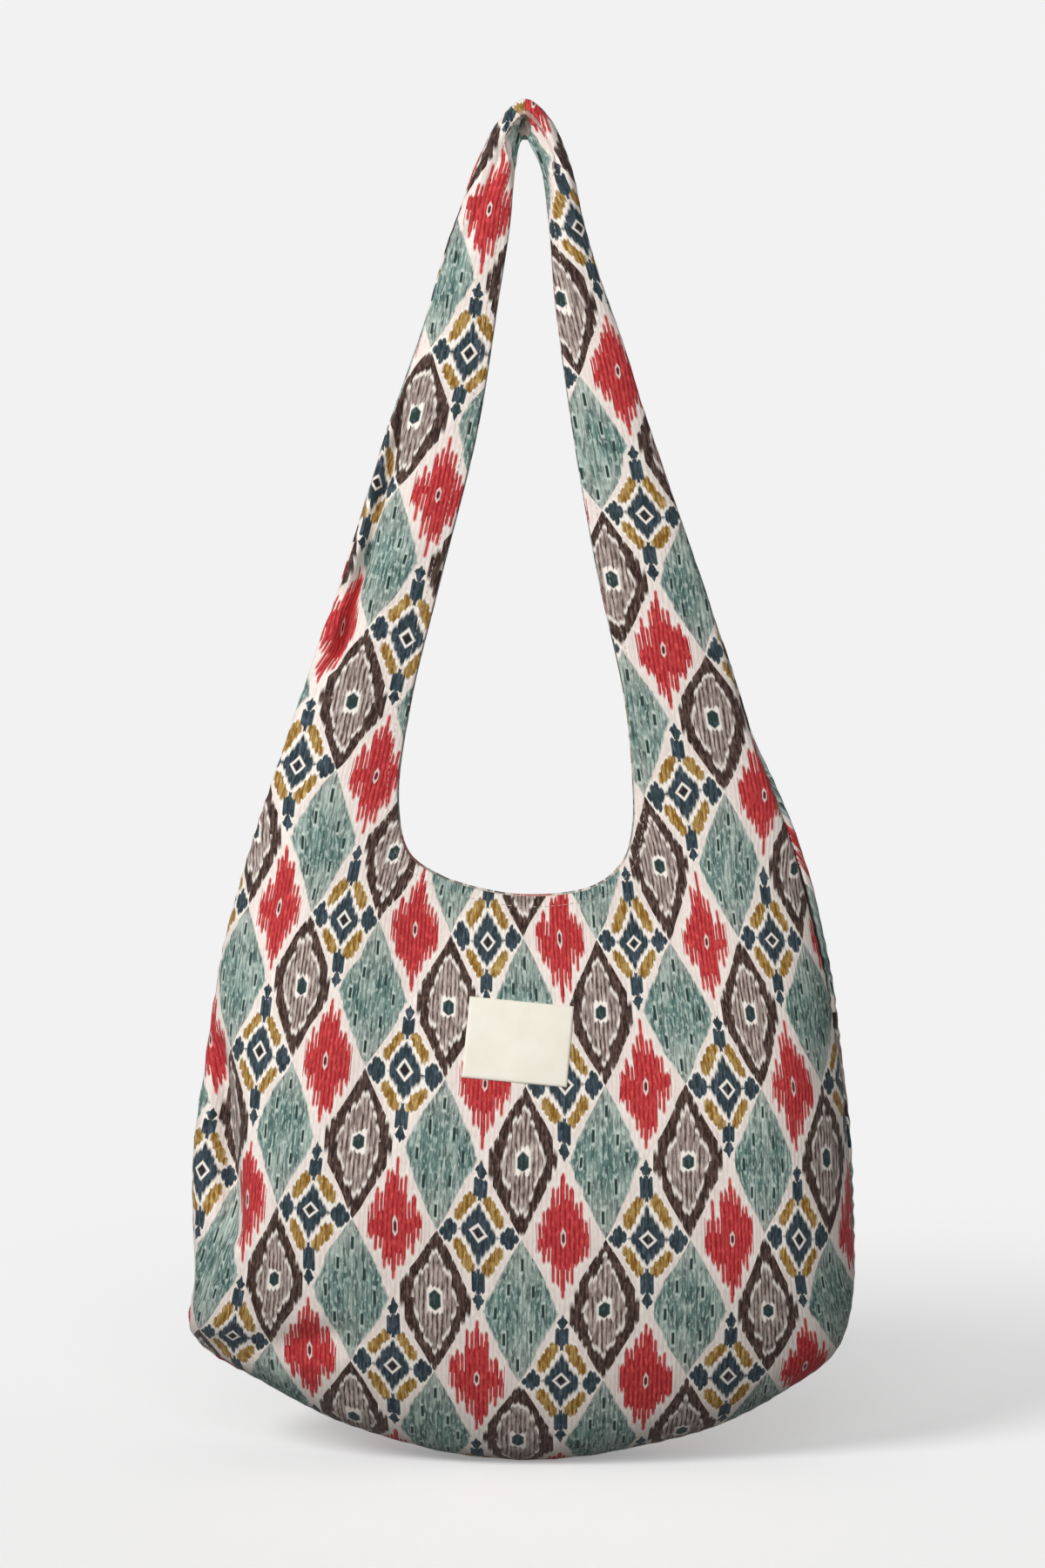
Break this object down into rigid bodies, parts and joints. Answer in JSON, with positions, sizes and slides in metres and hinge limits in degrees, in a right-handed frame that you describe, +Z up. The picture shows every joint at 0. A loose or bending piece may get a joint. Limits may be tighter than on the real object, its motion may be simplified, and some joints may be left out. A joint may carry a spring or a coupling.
{
  "type": "shoulder bag",
  "caption": "Slouchy cotton shoulder bag with a wide open mouth, its front and back each cut in one piece with the looped strap, and a small bare cloth label.",
  "frame": {"origin": "under the top fold of the strap, on the bag's middle line, where a hook or a shoulder carries it", "axes": "+Z up along the hanging bag, +X to the right of someone who looks at the front, -Y out of the front with the label"},
  "size_m": [0.3907, 0.1243, 0.794],
  "materials": {
    "printed_canvas": "matt cotton canvas with a woven-in look diamond print",
    "label_cotton": "smooth cream cotton tape"
  },
  "bodies": {
    "root": {"front_panel": "printed_canvas", "back_panel": "printed_canvas", "label": "label_cotton"}
  },
  "joints": []
}
